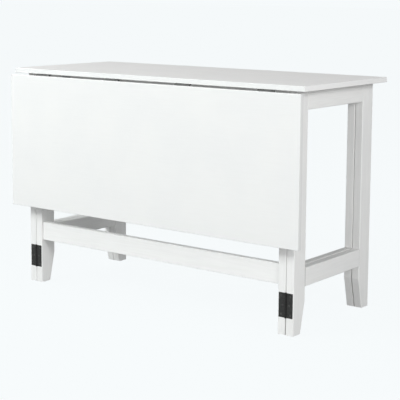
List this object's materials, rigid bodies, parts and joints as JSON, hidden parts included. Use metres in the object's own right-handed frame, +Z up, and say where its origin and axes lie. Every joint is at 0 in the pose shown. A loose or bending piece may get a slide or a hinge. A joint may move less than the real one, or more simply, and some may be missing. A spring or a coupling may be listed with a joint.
{
  "type": "drop-leaf dining table",
  "caption": "White painted drop-leaf dining table: one long hanging leaf, paired end frames whose outer gates swing out on butt hinges to carry the raised leaf, low front stretcher.",
  "frame": {"origin": "on the floor, under the middle of the table's box with its leaf hanging", "axes": "+X along the table, +Y from the leaf towards the back edge of the top, +Z up"},
  "size_m": [1.18, 0.5058, 0.75],
  "materials": {
    "white_paint": "solid wood and board under satin white paint, with a faint grain showing through",
    "black_steel": "steel with a semi-matt black coating",
    "zinc_steel": "bright zinc-plated steel",
    "beech": "unfinished fluted beech",
    "glide_plastic": "moulded pale grey plastic"
  },
  "bodies": {
    "table": {"top_panel": "white_paint", "front_stretcher": "white_paint", "back_apron": "white_paint", "left_inner_front_post": "white_paint", "left_inner_back_post": "white_paint", "left_inner_top_rail": "white_paint", "left_inner_low_rail": "white_paint", "left_hinge_frame_plates": "black_steel", "right_inner_front_post": "white_paint", "right_inner_back_post": "white_paint", "right_inner_top_rail": "white_paint", "right_inner_low_rail": "white_paint", "right_hinge_frame_plates": "black_steel", "frame_hinge_screws": "black_steel", "leaf_hinge_top_plates": "black_steel", "leaf_hinge_pins": "black_steel", "leaf_hinge_top_screws": "black_steel", "frame_bolts": "zinc_steel", "barrel_nuts": "zinc_steel", "top_brackets": "zinc_steel", "bracket_screws": "zinc_steel", "inner_frame_dowels": "beech", "long_bar_dowels": "beech", "inner_frame_glides": "glide_plastic"},
    "leaf": {"leaf_panel": "white_paint", "leaf_hinge_leaf_plates": "black_steel", "leaf_hinge_leaf_screws": "black_steel"},
    "left_pins": {"left_hinge_pins": "black_steel"},
    "left_gate": {"left_gate_front_post": "white_paint", "left_gate_back_post": "white_paint", "left_gate_top_rail": "white_paint", "left_gate_low_rail": "white_paint", "left_hinge_gate_plates": "black_steel", "left_gate_hinge_screws": "black_steel", "left_gate_dowels": "beech", "left_gate_glides": "glide_plastic"},
    "right_pins": {"right_hinge_pins": "black_steel"},
    "right_gate": {"right_gate_front_post": "white_paint", "right_gate_back_post": "white_paint", "right_gate_top_rail": "white_paint", "right_gate_low_rail": "white_paint", "right_hinge_gate_plates": "black_steel", "right_gate_hinge_screws": "black_steel", "right_gate_dowels": "beech", "right_gate_glides": "glide_plastic"}
  },
  "joints": [
    {"name": "leaf_lift", "type": "hinge", "parent": "table", "child": "leaf", "pos_m": [0, -0.23187, 0.729], "axis": [-1, 0, 0], "range_deg": [0, 90]},
    {"name": "right_pin_turn", "type": "hinge", "parent": "table", "child": "right_pins", "pos_m": [0.5214, -0.20877, 0.0935], "axis": [0, 0, -1], "range_deg": [0, 90]},
    {"name": "right_gate_swing", "type": "hinge", "parent": "right_pins", "child": "right_gate", "pos_m": [0.5214, -0.20877, 0.0935], "axis": [0, 0, -1], "range_deg": [0, 90]},
    {"name": "left_pin_turn", "type": "hinge", "parent": "table", "child": "left_pins", "pos_m": [-0.5214, -0.20877, 0.0935], "axis": [0, 0, 1], "range_deg": [0, 90]},
    {"name": "left_gate_swing", "type": "hinge", "parent": "left_pins", "child": "left_gate", "pos_m": [-0.5214, -0.20877, 0.0935], "axis": [0, 0, 1], "range_deg": [0, 90]}
  ],
  "couplings": [
    {"joint": "right_pin_turn", "follows": "leaf_lift", "ratio": 1},
    {"joint": "left_pin_turn", "follows": "leaf_lift", "ratio": 1}
  ]
}
